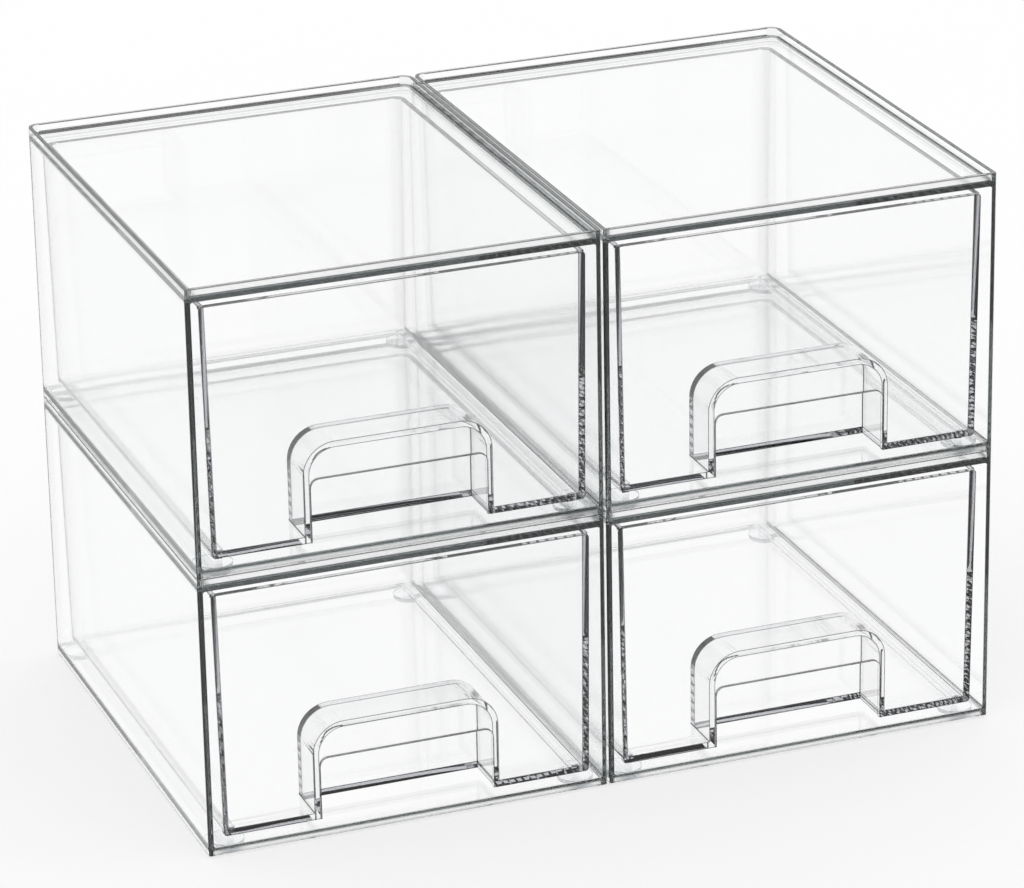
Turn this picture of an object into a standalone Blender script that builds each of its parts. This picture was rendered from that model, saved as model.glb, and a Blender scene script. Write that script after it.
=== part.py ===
# Stackable storage drawers: four clear cases stacked two by two, each with a
# clear drawer that slides out of its open front and four soft feet below.
# Units are metres, the front faces -Y and the lowest feet stand on Z = 0.

import math

import bmesh
import bpy
from mathutils import Vector

# Arrangement
COLUMNS = ("left", "right")
LEVELS = ("lower", "upper")
COLUMN_GAP = 0.0009          # between the two cases that stand side by side
STACK_GAP = 0.0003           # between a wall and the rim that it stands on

# Case
CASE_WIDTH = 0.165
CASE_DEPTH = 0.213
WALL_HEIGHT = 0.1157         # from the bottom of the walls to the top of the rim
CASE_WALL = 0.002
FLOOR_THICKNESS = 0.002
TOP_THICKNESS = 0.002
RIM_HEIGHT = 0.0032          # the rim stands this far above the top panel
RIM_THICKNESS = 0.0015
SKIRT_HEIGHT = 0.0013        # the walls reach this far below the floor
BACK_CORNER_RADIUS = 0.005
FRONT_CORNER_RADIUS = 0.001
MOUTH_CORNER_RADIUS = 0.001
CAVITY_BACK_RADIUS = 0.0035

# Soft feet
FOOT_RADIUS = 0.00715
FOOT_THICKNESS = 0.0019
FOOT_EDGE_RADIUS = 0.0004
FOOT_SEAT_GAP = 0.0003       # between a foot and the floor that it sticks to
FOOT_INSET = 0.010           # from the outside of the case to the foot's centre
FOOT_SIDES = 32

# Drawer
DRAWER_RECESS = 0.0022       # from the case's front to the drawer's front
DRAWER_SIDE_GAP = 0.0037     # between the drawer and each side of the case
DRAWER_BACK_GAP = 0.003
DRAWER_TOP_GAP = 0.0032
DRAWER_WALL = 0.002
DRAWER_FLOOR = 0.002
FRONT_THICKNESS = 0.0021
FRONT_CORNER_ROUND = 0.0012
DRAWER_BACK_RADIUS = 0.004
DRAWER_EDGE_RADIUS = 0.001   # along the bottom of its sides
TRAY_BACK_RADIUS = 0.0035
TRAY_EDGE_RADIUS = 0.0008    # the same edges on the inside
DRAWER_DRAFT = 0.0013        # each side is this much further in at its bottom

# Runners under the drawer
RUNNER_HEIGHT = 0.0027
RUNNER_THICKNESS = 0.003
RUNNER_INSET = 0.0026        # from the bottom of the drawer's side to the runner
RUNNER_GAP = 0.0003          # between a runner and the case's floor
RUNNER_START = 0.0055        # from the drawer's front to the runner's front end
RUNNER_END_INSET = 0.004     # from the drawer's back to the runner's back end

# Finger pull: a hood open at the bottom, behind an opening in the front
HOOD_WIDTH = 0.076
HOOD_HEIGHT = 0.0393
HOOD_DEPTH = 0.0217          # from the drawer's front face to the hood's back
HOOD_WALL = 0.002
HOOD_CORNER_RADIUS = 0.01275
OPENING_HEIGHT = 0.0254
OPENING_REVEAL = 0.0004      # the opening is this much narrower on each side
OPENING_CORNER_RADIUS = 0.0034

# Detail of the rounded edges
SMALL_ROUND_STEPS = 2
ROUND_STEPS = 5
HOOD_ROUND_STEPS = 10

CUT_OVERRUN = 0.004          # how far a cutting shape runs past the open side
JOIN_OVERLAP = 0.0005        # how far joined shapes reach into each other

# Sizes worked out from the ones above
FLOOR_UNDERSIDE = FOOT_THICKNESS + FOOT_SEAT_GAP
FLOOR_TOP = FLOOR_UNDERSIDE + FLOOR_THICKNESS
WALL_BOTTOM = FLOOR_UNDERSIDE - SKIRT_HEIGHT
RIM_TOP = WALL_BOTTOM + WALL_HEIGHT
TOP_SURFACE = RIM_TOP - RIM_HEIGHT
TOP_UNDERSIDE = TOP_SURFACE - TOP_THICKNESS
STACK_PITCH = WALL_HEIGHT + STACK_GAP
COLUMN_PITCH = CASE_WIDTH + COLUMN_GAP

DRAWER_WIDTH = CASE_WIDTH - 2 * (CASE_WALL + DRAWER_SIDE_GAP)
DRAWER_DEPTH = CASE_DEPTH - CASE_WALL - DRAWER_BACK_GAP - DRAWER_RECESS
DRAWER_BOTTOM = FLOOR_TOP + RUNNER_GAP + RUNNER_HEIGHT
DRAWER_HEIGHT = TOP_UNDERSIDE - DRAWER_TOP_GAP - DRAWER_BOTTOM

PART_NAME = "stackable_storage_drawers"
CASE_COLOUR = (0.93, 0.96, 0.96, 1.0)
DRAWER_COLOUR = (0.95, 0.96, 0.97, 1.0)
FOOT_COLOUR = (0.88, 0.92, 0.95, 1.0)

ROUNDING = "bevel_weight_edge"


def empty_scene():
    for old in list(bpy.data.objects):
        bpy.data.objects.remove(old, do_unlink=True)


def new_collection(name):
    collection = bpy.data.collections.new(name)
    bpy.context.scene.collection.children.link(collection)
    return collection


def clear_plastic(name, colour, roughness):
    material = bpy.data.materials.new(name)
    material.use_nodes = True
    shader = material.node_tree.nodes["Principled BSDF"]
    shader.inputs["Base Color"].default_value = colour
    shader.inputs["Metallic"].default_value = 0.0
    shader.inputs["Roughness"].default_value = roughness
    shader.inputs["Transmission Weight"].default_value = 1.0
    shader.inputs["IOR"].default_value = 1.57
    return material


def new_solid(name, mesh, collection):
    solid = bpy.data.objects.new(name, mesh)
    collection.objects.link(solid)
    return solid


def sides_of(edge, low, high):
    """The two sides of a box that an edge lies on, such as {'left', 'back'}."""
    names = (("left", "right"), ("front", "back"), ("bottom", "top"))
    middle = (edge.verts[0].co + edge.verts[1].co) / 2
    centre = (low + high) / 2
    found = set()
    for axis, (below, above) in enumerate(names):
        along = abs(edge.verts[0].co[axis] - edge.verts[1].co[axis])
        if along < (high - low).length * 1e-6:
            found.add(below if middle[axis] < centre[axis] else above)
    return found


def rounded_box(name, low, high, collection, rounds=(), steps=ROUND_STEPS):
    """A box between two corners whose named edges are rounded.

    rounds holds pairs of two side names and a radius.
    """
    low = Vector(low)
    high = Vector(high)
    shape = bmesh.new()
    bmesh.ops.create_cube(shape, size=1)
    bmesh.ops.scale(shape, vec=high - low, verts=shape.verts)
    bmesh.ops.translate(shape, vec=(low + high) / 2, verts=shape.verts)
    widest = max((radius for _, radius in rounds), default=0)
    weights = shape.edges.layers.float.new(ROUNDING)
    for edge in shape.edges:
        lies_on = sides_of(edge, low, high)
        for sides, radius in rounds:
            if lies_on == set(sides):
                edge[weights] = radius / widest
    mesh = bpy.data.meshes.new(name)
    shape.to_mesh(mesh)
    shape.free()
    box = new_solid(name, mesh, collection)
    if rounds:
        rounding = box.modifiers.new("rounded edges", "BEVEL")
        rounding.limit_method = "WEIGHT"
        rounding.width = widest
        rounding.segments = steps
        rounding.use_clamp_overlap = False
    return box


def use_as_tool(shape):
    shape.hide_render = True
    shape.display_type = "WIRE"


def combine(target, tool, operation):
    use_as_tool(tool)
    change = target.modifiers.new(tool.name, "BOOLEAN")
    change.operation = operation
    change.object = tool
    change.solver = "EXACT"


def finished_mesh(shape, name, material):
    """The mesh of a shape with its modifiers worked in, ready to be shared."""
    use_as_tool(shape)
    bpy.context.view_layer.update()
    graph = bpy.context.evaluated_depsgraph_get()
    mesh = bpy.data.meshes.new_from_object(shape.evaluated_get(graph))
    mesh.name = name
    mesh.materials.clear()
    mesh.materials.append(material)
    mesh.shade_smooth()
    mesh.set_sharp_from_angle(angle=math.radians(30))
    return mesh


def upright_corners(back, front):
    return (
        (("left", "back"), back),
        (("right", "back"), back),
        (("left", "front"), front),
        (("right", "front"), front),
    )


def case_mesh(tools, material):
    """The one-piece case: open front, raised rim on top, skirt below."""
    half = CASE_WIDTH / 2
    case = rounded_box(
        "case_block",
        (-half, 0, WALL_BOTTOM),
        (half, CASE_DEPTH, RIM_TOP),
        tools,
        upright_corners(BACK_CORNER_RADIUS, FRONT_CORNER_RADIUS),
    )
    inside = half - CASE_WALL
    cavity = rounded_box(
        "case_cavity",
        (-inside, -CUT_OVERRUN, FLOOR_TOP),
        (inside, CASE_DEPTH - CASE_WALL, TOP_UNDERSIDE),
        tools,
        (
            (("left", "top"), MOUTH_CORNER_RADIUS),
            (("right", "top"), MOUTH_CORNER_RADIUS),
            (("left", "bottom"), MOUTH_CORNER_RADIUS),
            (("right", "bottom"), MOUTH_CORNER_RADIUS),
            (("left", "back"), CAVITY_BACK_RADIUS),
            (("right", "back"), CAVITY_BACK_RADIUS),
            (("back", "top"), CAVITY_BACK_RADIUS),
            (("back", "bottom"), CAVITY_BACK_RADIUS),
        ),
        SMALL_ROUND_STEPS * 2,
    )
    combine(case, cavity, "DIFFERENCE")

    within_rim = half - RIM_THICKNESS
    top_recess = rounded_box(
        "rim_recess",
        (-within_rim, RIM_THICKNESS, TOP_SURFACE),
        (within_rim, CASE_DEPTH - RIM_THICKNESS, RIM_TOP + CUT_OVERRUN),
        tools,
        upright_corners(BACK_CORNER_RADIUS - RIM_THICKNESS, FRONT_CORNER_RADIUS),
    )
    combine(case, top_recess, "DIFFERENCE")

    under_recess = rounded_box(
        "skirt_recess",
        (-inside, CASE_WALL, WALL_BOTTOM - CUT_OVERRUN),
        (inside, CASE_DEPTH - CASE_WALL, FLOOR_UNDERSIDE),
        tools,
        upright_corners(BACK_CORNER_RADIUS - CASE_WALL, FRONT_CORNER_RADIUS),
    )
    combine(case, under_recess, "DIFFERENCE")
    return finished_mesh(case, "case", material)


def tray_edges(back_radius, side_radius):
    """The edges of a tray that are rounded: all but those of its front and top."""
    return (
        (("left", "bottom"), side_radius),
        (("right", "bottom"), side_radius),
        (("back", "bottom"), back_radius),
        (("left", "back"), back_radius),
        (("right", "back"), back_radius),
    )


def lean_in(box):
    """Brings the two sides of a box closer towards the bottom, as the drawer's are."""
    for vertex in box.data.vertices:
        inward = DRAWER_DRAFT * (1 - vertex.co.z / DRAWER_HEIGHT)
        vertex.co.x -= math.copysign(inward, vertex.co.x)


def arch(name, half_width, front, back, bottom, top, radius, tools, steps):
    return rounded_box(
        name,
        (-half_width, front, bottom),
        (half_width, back, top),
        tools,
        ((("left", "top"), radius), (("right", "top"), radius)),
        steps,
    )


def drawer_mesh(tools, material):
    """The one-piece drawer, with its origin at the front's bottom middle."""
    half = DRAWER_WIDTH / 2
    body = rounded_box(
        "drawer_body",
        (-half, FRONT_THICKNESS - JOIN_OVERLAP, 0),
        (half, DRAWER_DEPTH, DRAWER_HEIGHT),
        tools,
        tray_edges(DRAWER_BACK_RADIUS, DRAWER_EDGE_RADIUS),
    )
    lean_in(body)
    front = rounded_box(
        "drawer_front",
        (-half, 0, 0),
        (half, FRONT_THICKNESS, DRAWER_HEIGHT),
        tools,
        (
            (("left", "bottom"), FRONT_CORNER_ROUND),
            (("right", "bottom"), FRONT_CORNER_ROUND),
            (("left", "top"), FRONT_CORNER_ROUND),
            (("right", "top"), FRONT_CORNER_ROUND),
        ),
        SMALL_ROUND_STEPS,
    )
    lean_in(front)
    combine(body, front, "UNION")

    inside = half - DRAWER_WALL
    tray = rounded_box(
        "drawer_inside",
        (-inside, FRONT_THICKNESS, DRAWER_FLOOR),
        (inside, DRAWER_DEPTH - DRAWER_WALL, DRAWER_HEIGHT + CUT_OVERRUN),
        tools,
        tray_edges(TRAY_BACK_RADIUS, TRAY_EDGE_RADIUS),
    )
    lean_in(tray)
    combine(body, tray, "DIFFERENCE")

    hood = arch(
        "hood_outside",
        HOOD_WIDTH / 2,
        FRONT_THICKNESS - JOIN_OVERLAP,
        HOOD_DEPTH,
        DRAWER_FLOOR - JOIN_OVERLAP,
        HOOD_HEIGHT,
        HOOD_CORNER_RADIUS,
        tools,
        HOOD_ROUND_STEPS,
    )
    combine(body, hood, "UNION")

    pocket_half = HOOD_WIDTH / 2 - HOOD_WALL
    pocket = arch(
        "hood_inside",
        pocket_half,
        FRONT_THICKNESS,
        HOOD_DEPTH - HOOD_WALL,
        -CUT_OVERRUN,
        HOOD_HEIGHT - HOOD_WALL,
        HOOD_CORNER_RADIUS - HOOD_WALL,
        tools,
        HOOD_ROUND_STEPS,
    )
    combine(body, pocket, "DIFFERENCE")

    opening = arch(
        "pull_opening",
        pocket_half - OPENING_REVEAL,
        -CUT_OVERRUN,
        FRONT_THICKNESS + CUT_OVERRUN,
        -CUT_OVERRUN,
        OPENING_HEIGHT,
        OPENING_CORNER_RADIUS,
        tools,
        ROUND_STEPS,
    )
    combine(body, opening, "DIFFERENCE")

    for side, name in ((-1, "left_runner"), (1, "right_runner")):
        outer = side * (half - DRAWER_DRAFT - RUNNER_INSET)
        inner = outer - side * RUNNER_THICKNESS
        runner = rounded_box(
            name,
            (min(outer, inner), RUNNER_START, -RUNNER_HEIGHT),
            (max(outer, inner), DRAWER_DEPTH - RUNNER_END_INSET, JOIN_OVERLAP),
            tools,
        )
        combine(body, runner, "UNION")
    return finished_mesh(body, "drawer", material)


def foot_mesh(tools, material):
    """A soft disc with a rounded lower edge, its origin under its centre."""
    shape = bmesh.new()
    bmesh.ops.create_cone(
        shape,
        cap_ends=True,
        segments=FOOT_SIDES,
        radius1=FOOT_RADIUS,
        radius2=FOOT_RADIUS,
        depth=FOOT_THICKNESS,
    )
    bmesh.ops.translate(shape, vec=(0, 0, FOOT_THICKNESS / 2), verts=shape.verts)
    lower_edge = [e for e in shape.edges if all(v.co.z < FOOT_THICKNESS / 2 for v in e.verts)]
    bmesh.ops.bevel(
        shape,
        geom=lower_edge,
        offset=FOOT_EDGE_RADIUS,
        segments=SMALL_ROUND_STEPS,
        profile=0.5,
        affect="EDGES",
    )
    mesh = bpy.data.meshes.new("foot_disc")
    shape.to_mesh(mesh)
    shape.free()
    disc = new_solid("foot_disc", mesh, tools)
    return finished_mesh(disc, "foot", material)


def place(name, mesh, unit, location, parts):
    piece = new_solid(name, mesh, parts)
    piece.parent = unit
    piece.location = location
    return piece


def foot_places():
    """The name and the place of each foot under one case."""
    across = CASE_WIDTH / 2 - FOOT_INSET
    for end, y in (("front", FOOT_INSET), ("back", CASE_DEPTH - FOOT_INSET)):
        for side, x in (("left", -across), ("right", across)):
            yield f"{end}_{side}_foot", (x, y, 0)


def build():
    empty_scene()
    parts = new_collection(PART_NAME)
    tools = new_collection("cutters")
    case = case_mesh(tools, clear_plastic("case_clear_plastic", CASE_COLOUR, 0.03))
    drawer = drawer_mesh(tools, clear_plastic("drawer_clear_plastic", DRAWER_COLOUR, 0.03))
    foot = foot_mesh(tools, clear_plastic("foot_clear_rubber", FOOT_COLOUR, 0.25))

    for column, column_name in enumerate(COLUMNS):
        for level, level_name in enumerate(LEVELS):
            label = f"{level_name}_{column_name}"
            unit = bpy.data.objects.new(f"{label}_unit", None)
            x = (column - (len(COLUMNS) - 1) / 2) * COLUMN_PITCH
            unit.location = (x, -CASE_DEPTH / 2, level * STACK_PITCH)
            parts.objects.link(unit)
            place(f"{label}_case", case, unit, (0, 0, 0), parts)
            place(f"{label}_drawer", drawer, unit, (0, DRAWER_RECESS, DRAWER_BOTTOM), parts)
            for foot_name, spot in foot_places():
                place(f"{label}_{foot_name}", foot, unit, spot, parts)
    bpy.context.view_layer.update()


build()
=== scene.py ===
# Looks for the stackable storage drawers: clear moulded cases and drawers in
# plain white studio light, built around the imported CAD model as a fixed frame.

import math

import bmesh
import bpy
from mathutils import Matrix, Vector
from mathutils.geometry import intersect_point_line


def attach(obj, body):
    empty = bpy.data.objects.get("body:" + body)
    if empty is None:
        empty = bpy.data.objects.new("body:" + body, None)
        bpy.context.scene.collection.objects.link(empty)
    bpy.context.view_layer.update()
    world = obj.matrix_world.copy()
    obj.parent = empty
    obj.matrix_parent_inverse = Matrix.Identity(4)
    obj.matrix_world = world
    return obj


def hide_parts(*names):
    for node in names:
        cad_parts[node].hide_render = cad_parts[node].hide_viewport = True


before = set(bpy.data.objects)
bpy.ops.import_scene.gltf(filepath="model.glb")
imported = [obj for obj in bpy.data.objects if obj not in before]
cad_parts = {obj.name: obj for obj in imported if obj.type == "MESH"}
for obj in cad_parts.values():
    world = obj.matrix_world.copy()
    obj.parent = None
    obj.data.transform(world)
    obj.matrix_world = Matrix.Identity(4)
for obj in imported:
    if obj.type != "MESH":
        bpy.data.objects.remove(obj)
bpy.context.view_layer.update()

# Widths of the painted shade lines along the moulded edges, where the clear plastic's small edge radii
# look dark, in metres
CASE_LINE = 0.00040
DRAWER_LINE = 0.00032
SHARP_ANGLE = math.radians(30)
FLAT_ANGLE = math.radians(0.3)
LINES_PER_FACE = 2.5         # a face takes lines if it is this many lines wide
MERGE_DISTANCE = 1e-6        # points closer than this are one point

# How far some regions reach, in metres
FRONT_ZONE = 0.003           # behind a moulding's front face
RIM_HEIGHT = 0.0032          # of the case's rim above its top panel
RIM_ZONE = 0.0045            # below the top of a moulding
FLOOR_ZONE = 0.0045          # above the bottom of a case
WALL_ZONE = 0.0025           # in from a case's side
CORNER_ZONE = 0.006          # round a moulding's back corners
HOOD_HALF = 0.0385           # of the finger pull, to each side of the drawer's middle
HOOD_BACK = 0.0222           # behind the drawer's front
HOOD_TOP = 0.0425            # above the bottom of the drawer's runners

# Faces are told apart by their normals: nearly along an axis, mostly along it, or slanted
ALONG = 0.9
MOSTLY_ALONG = 0.5
SLANT_LEAST = 0.1
SLANT_MOST = 0.995

# Painted shade and frosting of each region: its share of painted shade (dark strips and faces standing in
# for the shade that clear plastic shows at its edges and end faces), then its share of frosting
CLEAR_SHARES = (0.0, 0.0)
FRONT_LINE_SHARES = (0.95, 0.0)
RIM_LINE_SHARES = (0.95, 0.0)
HOOD_LINE_SHARES = (1.0, 0.0)
OTHER_LINE_SHARES = (0.4, 0.0)
# Painted shade on the front end faces of the case's walls and top, which look dark seen end-on
SIDE_END_SHARES = (0.8, 0.0)
TOP_END_SHARES = (0.95, 0.0)
RIM_END_SHARES = (0.0, 0.5)
# Faint painted shade greys the faces of the drawer's finger pull
HOOD_FACE_SHARES = (0.06, 0.0)
BACK_CORNER_SHARES = (0.0, 0.4)
PARTITION_SHARES = (0.0, 0.05)
FLOOR_FACE_SHARES = (0.0, 0.05)
FLOOR_FRONT_SHARES = (0.0, 1.0)
# Painted shade darkens the sides of the clear feet
FOOT_SIDE_SHARES = (0.45, 0.0)
FROST_ROUGHNESS = 0.6

PAINTED_SHADE_NAME = "painted_shade_share"
FROST_NAME = "frost_share"

# Clear plastics: pale colour of the surface, dark colour of its painted shade, tint and density of the
# inside, IOR
CASE_LOOK = ((0.996, 0.998, 0.998), (0.006, 0.009, 0.009), (0.0, 0.1, 0.1), 5.5, 1.5)
DRAWER_LOOK = ((0.997, 0.997, 0.998), (0.007, 0.008, 0.009), (0.0, 0.02, 0.1), 3.2, 1.5)
FOOT_LOOK = ((0.97, 0.99, 1.0), (0.03, 0.04, 0.05), (0.3, 0.7, 1.0), 5.0, 1.42)
WHITE = (1.0, 1.0, 1.0)
FLOW_SCALE = 22.0            # flow marks of the moulding
SCUFF_SCALE = 260.0
GREATEST_SCUFF = 0.008       # roughness of the most scuffed spots
WAVE_STRENGTH = 0.02
WAVE_DISTANCE = 0.0002

# Studio floor
FLOOR_SIZE = 14.0
FLOOR_DROP = 0.0002          # below the feet
FLOOR_GRAIN_SCALE = 90.0
FLOOR_GREY = (0.97, 0.97, 0.97)
FLOOR_GLOW_SHARE = 0.7       # of the floor as the camera sees it

# Light has to find its way along inside the thin walls
CLEAR_BOUNCES = 96
GLOSSY_BOUNCES = 32

# Camera, fitted to the photograph's edges
FOCAL_PIXELS = 5050.2009
FRAME_WIDTH = 1024
SENSOR = 36.0
CAMERA_PLACE = (-0.66570, -1.78213, 0.86647)
CAMERA_YAW = 20.5348
CAMERA_PITCH = 21.7792
CAMERA_ROLL = -1.0933


def make_camera():
    yaw = math.radians(CAMERA_YAW)
    pitch = math.radians(CAMERA_PITCH)
    roll = math.radians(CAMERA_ROLL)
    forward = Vector((math.sin(yaw) * math.cos(pitch), math.cos(yaw) * math.cos(pitch), -math.sin(pitch)))
    level = Vector((math.cos(yaw), -math.sin(yaw), 0.0))
    upright = level.cross(forward)
    right = level * math.cos(roll) + upright * math.sin(roll)
    up = upright * math.cos(roll) - level * math.sin(roll)
    turn = Matrix((right, up, -forward)).transposed().to_4x4()
    data = bpy.data.cameras.new("camera")
    data.sensor_width = SENSOR
    data.lens = FOCAL_PIXELS * SENSOR / FRAME_WIDTH
    data.clip_start = 0.05
    data.clip_end = 60.0
    camera = bpy.data.objects.new("camera", data)
    camera.matrix_world = Matrix.Translation(CAMERA_PLACE) @ turn
    bpy.context.scene.collection.objects.link(camera)
    bpy.context.scene.camera = camera


def flat_regions(shape):
    """Lists of faces that lie in one plane and touch, in the order of the mesh."""
    seen = set()
    regions = []
    for first in shape.faces:
        if first in seen:
            continue
        seen.add(first)
        region = [first]
        for face in region:
            for edge in face.edges:
                for other in edge.link_faces:
                    if other not in seen and edge.calc_face_angle(0.0) < FLAT_ANGLE:
                        seen.add(other)
                        region.append(other)
        regions.append(region)
    return regions


def distance_to_segment(point, start, end):
    nearest, share = intersect_point_line(point, start, end)
    return (point - (start if share < 0 else end if share > 1 else nearest)).length


def cut_lines(shape, width):
    """Cuts wide flat regions beside their sharp edges; gives the faces of the thin strips."""
    strips = set()
    for region in flat_regions(shape):
        outline = [(edge, face) for face in region for edge in face.edges
                   if edge.calc_face_angle(0.0) >= FLAT_ANGLE]
        area = sum(face.calc_area() for face in region)
        around = sum(edge.calc_length() for edge, face in outline)
        if 2 * area < LINES_PER_FACE * width * around:
            continue
        sharp = []
        for edge, face in outline:
            if not edge.smooth:
                start, end = (vert.co.copy() for vert in edge.verts)
                inward = (end - start).cross(face.normal).normalized()
                if inward.dot(face.calc_center_median() - start) < 0:
                    inward.negate()
                sharp.append((start, end, inward))
        for start, end, inward in sharp:
            edges = dict.fromkeys(edge for face in region for edge in face.edges)
            verts = dict.fromkeys(vert for face in region for vert in face.verts)
            cut = bmesh.ops.bisect_plane(
                shape, geom=[*region, *edges, *verts], dist=MERGE_DISTANCE,
                plane_co=start + inward * width, plane_no=inward)
            region = [part for part in cut["geom"] if isinstance(part, bmesh.types.BMFace)]
        strips.update(
            face for face in region
            if any(distance_to_segment(face.calc_center_median(), start, end) < width
                   for start, end, inward in sharp))
    return strips


def shade_painted_copy(node, name, width, shade_and_frost):
    """A copy of a CAD node's mesh with shares of painted shade and of frosting on its faces.

    width is that of its painted shade lines, or None for a piece without them. The function passed last
    gives a face its share of painted shade and its share of frosting.
    """
    shape = bmesh.new()
    shape.from_mesh(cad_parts[node].data)
    painted_shade = shape.faces.layers.float.new(PAINTED_SHADE_NAME)
    frost = shape.faces.layers.float.new(FROST_NAME)
    bmesh.ops.remove_doubles(shape, verts=shape.verts, dist=MERGE_DISTANCE)
    shape.normal_update()
    for edge in shape.edges:
        edge.smooth = edge.calc_face_angle(0.0) < SHARP_ANGLE
    for face in shape.faces:
        face.smooth = True
    low = Vector(min(v.co[axis] for v in shape.verts) for axis in range(3))
    high = Vector(max(v.co[axis] for v in shape.verts) for axis in range(3))
    if shade_and_frost is case_shade_and_frost:
        bmesh.ops.bisect_plane(
            shape, geom=[*shape.verts, *shape.edges, *shape.faces], dist=MERGE_DISTANCE,
            plane_co=(0.0, 0.0, high.z - RIM_HEIGHT), plane_no=(0.0, 0.0, 1.0))
    lines = cut_lines(shape, width) if width else set()
    for face in shape.faces:
        face[painted_shade], face[frost] = shade_and_frost(face, face in lines, low, high)
        face.material_index = 0
    mesh = bpy.data.meshes.new(name)
    shape.to_mesh(mesh)
    shape.free()
    mesh.materials.clear()
    piece = bpy.data.objects.new(name, mesh)
    bpy.context.scene.collection.objects.link(piece)
    weights = piece.modifiers.new("even shading", "WEIGHTED_NORMAL")
    weights.keep_sharp = True
    return piece


def at_back_corner(face, low, high):
    centre = face.calc_center_median()
    near_back = centre.y > high.y - CORNER_ZONE
    near_side = min(centre.x - low.x, high.x - centre.x) < CORNER_ZONE
    slanted = SLANT_LEAST < abs(face.normal.x) < SLANT_MOST and abs(face.normal.y) > SLANT_LEAST
    return near_back and near_side and slanted


# Shares of painted shade and of frosting for a case face: painted shade lines by the edges, painted shade
# on the front end faces
def case_shade_and_frost(face, is_line, low, high):
    centre = face.calc_center_median()
    at_front = centre.y < low.y + FRONT_ZONE
    on_rim = centre.z > high.z - RIM_ZONE
    by_floor = centre.z < low.z + FLOOR_ZONE
    inboard = min(centre.x - low.x, high.x - centre.x) > WALL_ZONE
    if is_line:
        if at_front and by_floor and inboard:
            return OTHER_LINE_SHARES
        return FRONT_LINE_SHARES if at_front else RIM_LINE_SHARES if on_rim else OTHER_LINE_SHARES
    # Front end faces: painted shade on the ends of the walls and top
    if face.normal.y < -ALONG and centre.y < low.y + FRONT_ZONE / 3:
        if not inboard:
            return SIDE_END_SHARES
        if by_floor:
            return FLOOR_FRONT_SHARES
        return RIM_END_SHARES if centre.z > high.z - RIM_HEIGHT else TOP_END_SHARES
    if at_back_corner(face, low, high):
        return BACK_CORNER_SHARES
    if by_floor and abs(face.normal.z) > ALONG and inboard:
        return FLOOR_FACE_SHARES
    if abs(face.normal.x) > ALONG and not on_rim:
        return PARTITION_SHARES
    return CLEAR_SHARES


# Shares of painted shade and of frosting for a drawer face: painted shade lines by the edges, painted
# shade on the finger pull
def drawer_shade_and_frost(face, is_line, low, high):
    centre = face.calc_center_median()
    at_front = centre.y < low.y + FRONT_ZONE
    on_rim = centre.z > high.z - RIM_ZONE
    by_hood = (
        abs(centre.x - (low.x + high.x) / 2) < HOOD_HALF
        and centre.y < low.y + HOOD_BACK
        and centre.z < low.z + HOOD_TOP
    )
    if by_hood and face.normal.z < -ALONG:
        return CLEAR_SHARES
    if is_line:
        return (FRONT_LINE_SHARES if at_front else HOOD_LINE_SHARES if by_hood
                else RIM_LINE_SHARES if on_rim else OTHER_LINE_SHARES)
    # Painted shade on the finger pull's faces
    if by_hood and not at_front and abs(face.normal.y) < MOSTLY_ALONG:
        return HOOD_FACE_SHARES
    if at_back_corner(face, low, high):
        return BACK_CORNER_SHARES
    return CLEAR_SHARES


# Shares of painted shade for a foot: its sides are darkened as painted shade
def foot_shade_and_frost(face, is_line, low, high):
    return FOOT_SIDE_SHARES if abs(face.normal.z) < MOSTLY_ALONG else CLEAR_SHARES


def add_node(tree, kind, **inputs):
    node = tree.nodes.new(kind)
    for name, value in inputs.items():
        node.inputs[name.replace("_", " ")].default_value = value
    return node


def math_node(tree, operation, first, second):
    node = tree.nodes.new("ShaderNodeMath")
    node.operation = operation
    for socket, value in zip(node.inputs, (first, second)):
        if isinstance(value, (int, float)):
            socket.default_value = value
        else:
            tree.links.new(value, socket)
    return node.outputs[0]


def mixed_colour(tree, factor, first, second):
    node = tree.nodes.new("ShaderNodeMix")
    node.data_type = "RGBA"
    tree.links.new(factor, node.inputs["Factor"])
    for socket, value in ((node.inputs[6], first), (node.inputs[7], second)):
        if isinstance(value, tuple):
            socket.default_value = (*value, 1.0)
        else:
            tree.links.new(value, socket)
    return node.outputs[2]


def face_share(tree, name):
    node = tree.nodes.new("ShaderNodeAttribute")
    node.attribute_type = "GEOMETRY"
    node.attribute_name = name
    return node.outputs["Fac"]


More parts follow.
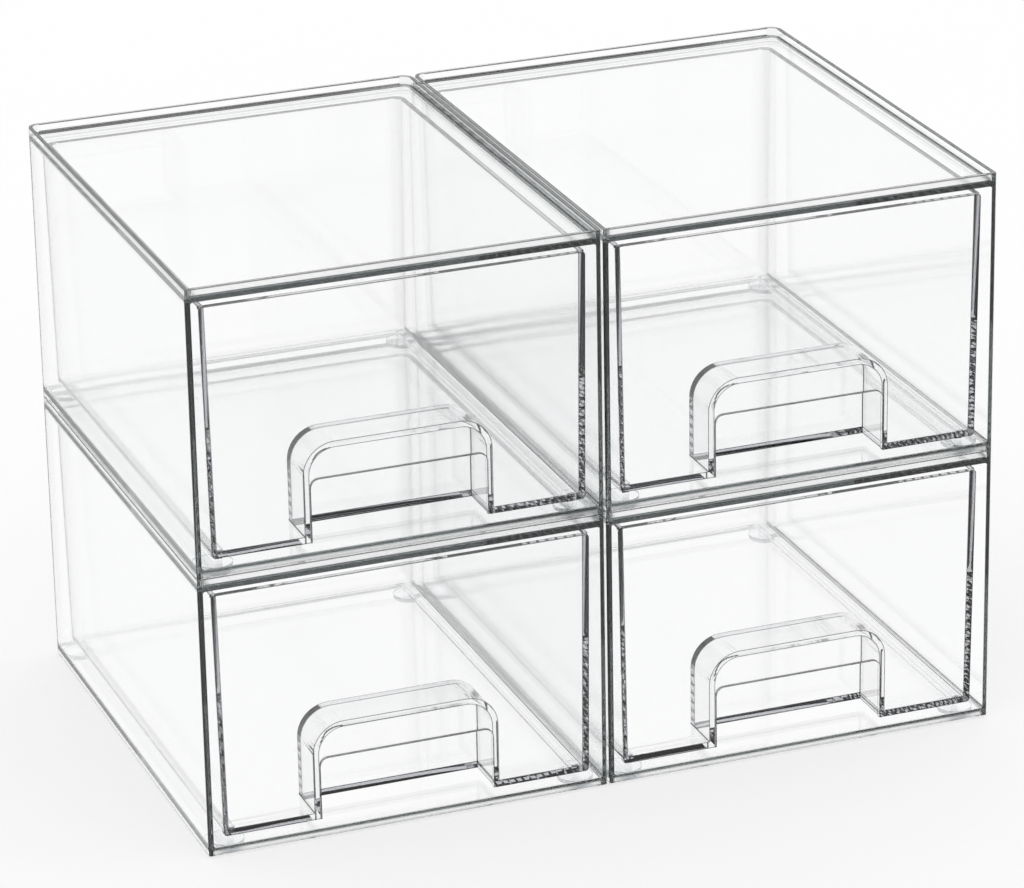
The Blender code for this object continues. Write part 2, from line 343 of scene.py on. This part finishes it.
def clear_plastic(name, pale, painted_shade, tint, density, ior):
    """Clear moulded plastic: faint flow marks, painted shade on its edges and end faces, tinted depth."""
    material = bpy.data.materials.new(name)
    material.use_nodes = True
    tree = material.node_tree
    shader = tree.nodes["Principled BSDF"]
    place = tree.nodes.new("ShaderNodeTexCoord").outputs["Object"]
    flow = add_node(tree, "ShaderNodeTexNoise", Scale=FLOW_SCALE, Detail=2.0)
    tree.links.new(place, flow.inputs["Vector"])
    scuff = add_node(tree, "ShaderNodeTexNoise", Scale=SCUFF_SCALE, Detail=4.0)
    tree.links.new(place, scuff.inputs["Vector"])

    darkness = face_share(tree, PAINTED_SHADE_NAME)
    frost = face_share(tree, FROST_NAME)
    bright = mixed_colour(tree, flow.outputs["Fac"], WHITE, pale)
    # Painted shade: each face is darkened toward the dark colour by its painted shade share
    colour = mixed_colour(tree, darkness, bright, painted_shade)
    tree.links.new(colour, shader.inputs["Base Color"])
    shader.inputs["Transmission Weight"].default_value = 1.0
    polish = math_node(tree, "MULTIPLY", scuff.outputs["Fac"], GREATEST_SCUFF)
    frosting = math_node(tree, "MULTIPLY", frost, FROST_ROUGHNESS)
    tree.links.new(math_node(tree, "ADD", polish, frosting), shader.inputs["Roughness"])
    waves = add_node(tree, "ShaderNodeBump", Strength=WAVE_STRENGTH, Distance=WAVE_DISTANCE)
    tree.links.new(flow.outputs["Fac"], waves.inputs["Height"])
    tree.links.new(waves.outputs["Normal"], shader.inputs["Normal"])
    shader.inputs["IOR"].default_value = ior

    inside = add_node(tree, "ShaderNodeVolumeAbsorption", Color=(*tint, 1.0), Density=density)
    tree.links.new(inside.outputs["Volume"], tree.nodes["Material Output"].inputs["Volume"])
    return material


def make_floor():
    bpy.ops.mesh.primitive_plane_add(size=FLOOR_SIZE, location=(0, 0, -FLOOR_DROP))
    floor = bpy.context.active_object
    floor.name = "studio_floor"
    material = bpy.data.materials.new("studio_floor_paper")
    material.use_nodes = True
    tree = material.node_tree
    shader = tree.nodes["Principled BSDF"]
    grain = add_node(tree, "ShaderNodeTexNoise", Scale=FLOOR_GRAIN_SCALE, Detail=3.0)
    tone = mixed_colour(tree, grain.outputs["Fac"], WHITE, FLOOR_GREY)
    tree.links.new(tone, shader.inputs["Base Color"])
    shader.inputs["Roughness"].default_value = 1.0
    shader.inputs["Specular IOR Level"].default_value = 0.0
    ray = tree.nodes.new("ShaderNodeLightPath")
    glow = add_node(tree, "ShaderNodeEmission", Color=(*WHITE, 1.0), Strength=1.0)
    seen = math_node(tree, "MULTIPLY", ray.outputs["Is Camera Ray"], FLOOR_GLOW_SHARE)
    through = math_node(tree, "MAXIMUM", ray.outputs["Is Transmission Ray"], ray.outputs["Is Glossy Ray"])
    share = math_node(tree, "MAXIMUM", seen, through)
    mix = tree.nodes.new("ShaderNodeMixShader")
    tree.links.new(share, mix.inputs[0])
    tree.links.new(shader.outputs[0], mix.inputs[1])
    tree.links.new(glow.outputs[0], mix.inputs[2])
    tree.links.new(mix.outputs[0], tree.nodes["Material Output"].inputs["Surface"])
    floor.data.materials.append(material)


def make_light():
    world = bpy.data.worlds.new("studio")
    bpy.context.scene.world = world
    world.use_nodes = True
    background = world.node_tree.nodes["Background"]
    background.inputs["Color"].default_value = (*WHITE, 1.0)
    background.inputs["Strength"].default_value = 1.0


def dress_node(node, body, name, line, shade_and_frost, look):
    piece = shade_painted_copy(node, name, line, shade_and_frost)
    piece.data.materials.append(look)
    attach(piece, body)
    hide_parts(node)


def dress():
    case_look = clear_plastic("case_clear_plastic_look", *CASE_LOOK)
    drawer_look = clear_plastic("drawer_clear_plastic_look", *DRAWER_LOOK)
    foot_look = clear_plastic("foot_clear_rubber_look", *FOOT_LOOK)
    for level in ("lower", "upper"):
        for column in ("left", "right"):
            label = f"{level}_{column}"
            case = f"{label}_case"
            drawer = f"{label}_drawer"
            dress_node(case, case, f"{case}_shell", CASE_LINE, case_shade_and_frost,
                       case_look)
            dress_node(drawer, drawer, f"{drawer}_tray", DRAWER_LINE, drawer_shade_and_frost,
                       drawer_look)
            for end in ("front", "back"):
                for side in ("left", "right"):
                    foot = f"{label}_{end}_{side}_foot"
                    dress_node(foot, case, f"{foot}_disc", None, foot_shade_and_frost,
                               foot_look)


make_camera()
make_floor()
make_light()
dress()

scene = bpy.context.scene
scene.view_settings.view_transform = "Standard"
scene.cycles.max_bounces = CLEAR_BOUNCES
scene.cycles.transmission_bounces = CLEAR_BOUNCES
scene.cycles.glossy_bounces = GLOSSY_BOUNCES
